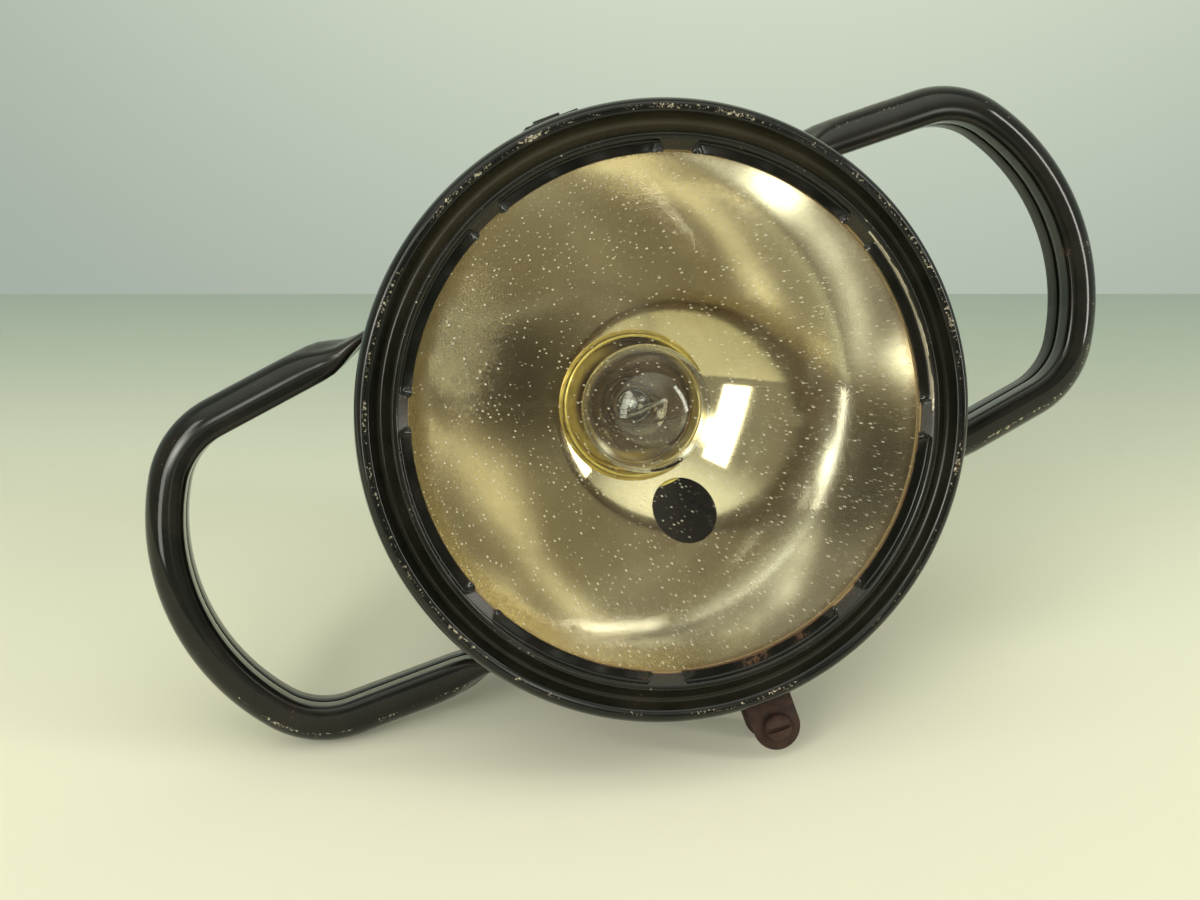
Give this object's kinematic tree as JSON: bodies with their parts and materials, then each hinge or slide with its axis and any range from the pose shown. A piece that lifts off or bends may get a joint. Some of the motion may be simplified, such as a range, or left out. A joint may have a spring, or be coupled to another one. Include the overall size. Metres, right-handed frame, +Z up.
{
  "type": "vehicle spotlight",
  "caption": "Round vehicle spotlight with a pressed rim, dished reflector, bayonet bulb and a rolled-sheet loop handle on each side, leaning back at rest.",
  "frame": {"origin": "centre of the footprint of the resting lamp, on the surface that it rests on", "axes": "+Z up, the glass faces -Y and leans back, +X to the right as seen from the front"},
  "size_m": [0.3448, 0.183, 0.2122],
  "materials": {
    "black_enamel": "glossy black stove enamel, worn to brown metal on crests and edges",
    "clear_glass": "clear glass with specks of dust",
    "tan_seal": "dry tan packing strip",
    "tarnished_mirror": "polished metal, tarnished olive and yellow",
    "brass": "dulled brass",
    "rusty_steel": "brown rusted steel",
    "spring_steel": "plain steel, slightly dulled",
    "brown_phenolic": "dark brown moulded phenolic",
    "filament_wire": "fine grey wire"
  },
  "bodies": {
    "housing": {"housing": "black_enamel", "housing_hook": "black_enamel", "screw_tab": "rusty_steel", "tab_nut": "rusty_steel", "left_handle": "black_enamel", "right_handle": "black_enamel", "left_handle_rivet_1": "spring_steel", "left_handle_rivet_2": "spring_steel", "left_handle_rivet_3": "spring_steel", "left_handle_rivet_4": "spring_steel", "right_handle_rivet_1": "spring_steel", "right_handle_rivet_2": "spring_steel", "right_handle_rivet_3": "spring_steel", "right_handle_rivet_4": "spring_steel", "cable_gland": "brass", "gland_nut": "brass", "terminal_block": "brown_phenolic", "terminal_screw_left": "brass", "terminal_screw_right": "brass"},
    "rim": {"front_rim": "black_enamel", "front_glass": "clear_glass", "glass_seal": "tan_seal", "reflector": "tarnished_mirror", "reflector_collar": "brass", "retaining_clip_1": "spring_steel", "retaining_clip_2": "spring_steel", "retaining_clip_3": "spring_steel", "retaining_clip_4": "spring_steel", "rim_hook": "black_enamel", "screw_lug": "rusty_steel"},
    "rim_screw": {"rim_screw": "rusty_steel"},
    "lamp_holder": {"socket_carrier": "brass", "lamp_socket": "brass", "socket_insulator": "brown_phenolic"},
    "contact_pins": {"contact_plunger_left": "brass", "contact_plunger_right": "brass"},
    "bulb": {"bulb_globe": "clear_glass", "bulb_cap": "brass", "bulb_stem": "clear_glass", "bulb_filament": "filament_wire"}
  },
  "joints": [
    {"name": "rim_swing", "type": "hinge", "parent": "housing", "child": "rim", "pos_m": [-0.02922, -0.00557, 0.2021], "axis": [-0.9568, -0.0967, -0.2742], "range_deg": [0, 40]},
    {"name": "rim_screw_turn", "type": "hinge", "parent": "rim", "child": "rim_screw", "pos_m": [0.03053, -0.08216, 0.01201], "axis": [0, -0.943, 0.3327], "continuous": true},
    {"name": "lamp_holder_pull", "type": "slide", "parent": "rim", "child": "lamp_holder", "axis": [0, 0.943, -0.3327], "range_m": [0, 0.012]},
    {"name": "bulb_turn", "type": "hinge", "parent": "lamp_holder", "child": "bulb", "pos_m": [0, 0.01903, 0.09146], "axis": [0, -0.943, 0.3327], "range_deg": [0, 20]},
    {"name": "contact_press", "type": "slide", "parent": "lamp_holder", "child": "contact_pins", "axis": [0, 0.943, -0.3327], "range_m": [0, 0.0015], "stiffness_N_per_m": 150, "springref_m": -0.001}
  ]
}
